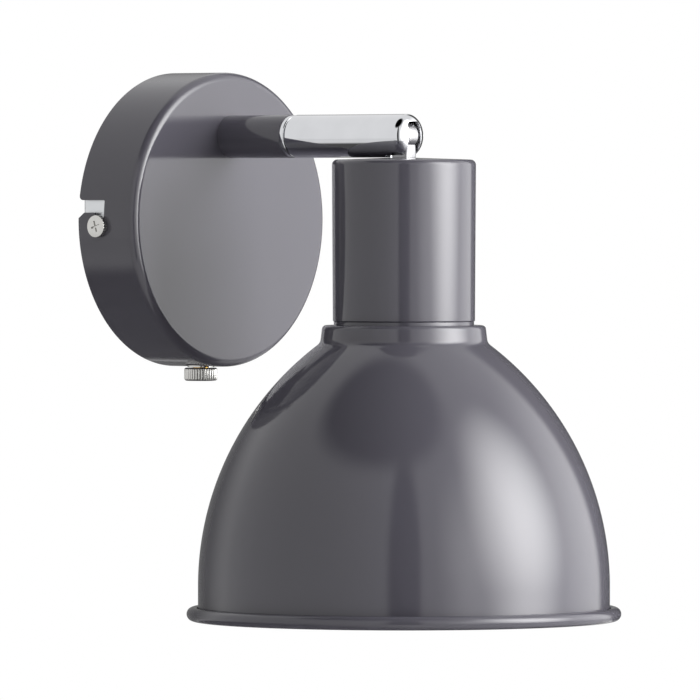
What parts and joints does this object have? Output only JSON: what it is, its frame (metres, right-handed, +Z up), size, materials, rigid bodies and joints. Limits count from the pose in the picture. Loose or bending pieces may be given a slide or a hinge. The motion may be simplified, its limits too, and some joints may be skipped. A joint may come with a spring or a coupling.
{
  "type": "wall reading lamp",
  "caption": "Wall reading lamp: round wall cup with a side-screw bracket, turning arm, tilting bell shade on a lampholder cup, and a turn switch under the cup.",
  "frame": {"origin": "centre of the wall cup's back, on the wall plane", "axes": "+Z up, +X to the right of someone facing the wall, the lamp stands out along -Y"},
  "size_m": [0.16, 0.1914, 0.2024],
  "materials": {
    "grey_paint": "glossy stove enamel on steel",
    "chrome": "polished chrome plate",
    "zinc": "bright zinc plate",
    "nickel": "nickel plate",
    "brass": "bare brass",
    "terminal_plastic": "natural polyamide",
    "black_plastic": "black phenolic moulding",
    "holder_plastic": "white glass-filled polyester",
    "ceramic": "unglazed steatite",
    "opal_glass": "opal glass",
    "brown_wire": "brown PVC",
    "black_wire": "black PVC",
    "blue_wire": "blue PVC",
    "earth_wire": "green and yellow PVC",
    "white_cable": "white PVC"
  },
  "bodies": {
    "rose": {"rose_cover": "grey_paint", "wall_bracket": "zinc", "cover_screws": "nickel", "terminal_block": "terminal_plastic", "terminal_screws": "zinc", "block_screw": "zinc", "earth_screw": "brass", "earth_washer": "brass", "switch_body": "black_plastic", "switch_bush": "nickel", "switch_nut": "nickel", "arm_socket": "grey_paint", "arm_nipple": "zinc", "nipple_washer": "zinc", "nipple_nut": "zinc", "swivel_ring": "chrome", "swivel_bush": "brass", "lead_live": "brown_wire", "lead_switched": "black_wire", "lead_load": "brown_wire", "lead_neutral": "blue_wire", "lead_earth": "earth_wire"},
    "switch_turner": {"switch_knob": "nickel", "switch_spindle": "brass"},
    "arm": {"wave_washer": "zinc", "arm_tube": "chrome", "arm_knuckle": "chrome", "pivot_screw": "chrome", "arm_cable": "white_cable"},
    "head": {"knuckle_stem": "chrome", "stem_washer": "zinc", "stem_nut": "zinc", "holder_cup": "grey_paint", "neck_ring": "grey_paint", "shade": "grey_paint", "lampholder_cap": "holder_plastic", "lampholder_body": "holder_plastic", "shade_clamp_ring": "holder_plastic", "socket_shell": "brass", "contact_insert": "ceramic", "centre_contact": "brass", "holder_screws": "zinc", "holder_lead_live": "brown_wire", "holder_lead_neutral": "blue_wire", "bulb_globe": "opal_glass", "bulb_cap": "nickel", "bulb_tip": "black_plastic"}
  },
  "joints": [
    {"name": "arm_swivel", "type": "hinge", "parent": "rose", "child": "arm", "pos_m": [0, -0.0601, 0.031], "axis": [0, -1, 0], "range_deg": [-170, 170]},
    {"name": "head_tilt", "type": "hinge", "parent": "arm", "child": "head", "pos_m": [0, -0.1114, 0.031], "axis": [-1, 0, 0], "range_deg": [0, 90]},
    {"name": "switch_turn", "type": "hinge", "parent": "rose", "child": "switch_turner", "pos_m": [0, -0.0125, -0.0555], "axis": [0, 0, -1], "continuous": true}
  ]
}
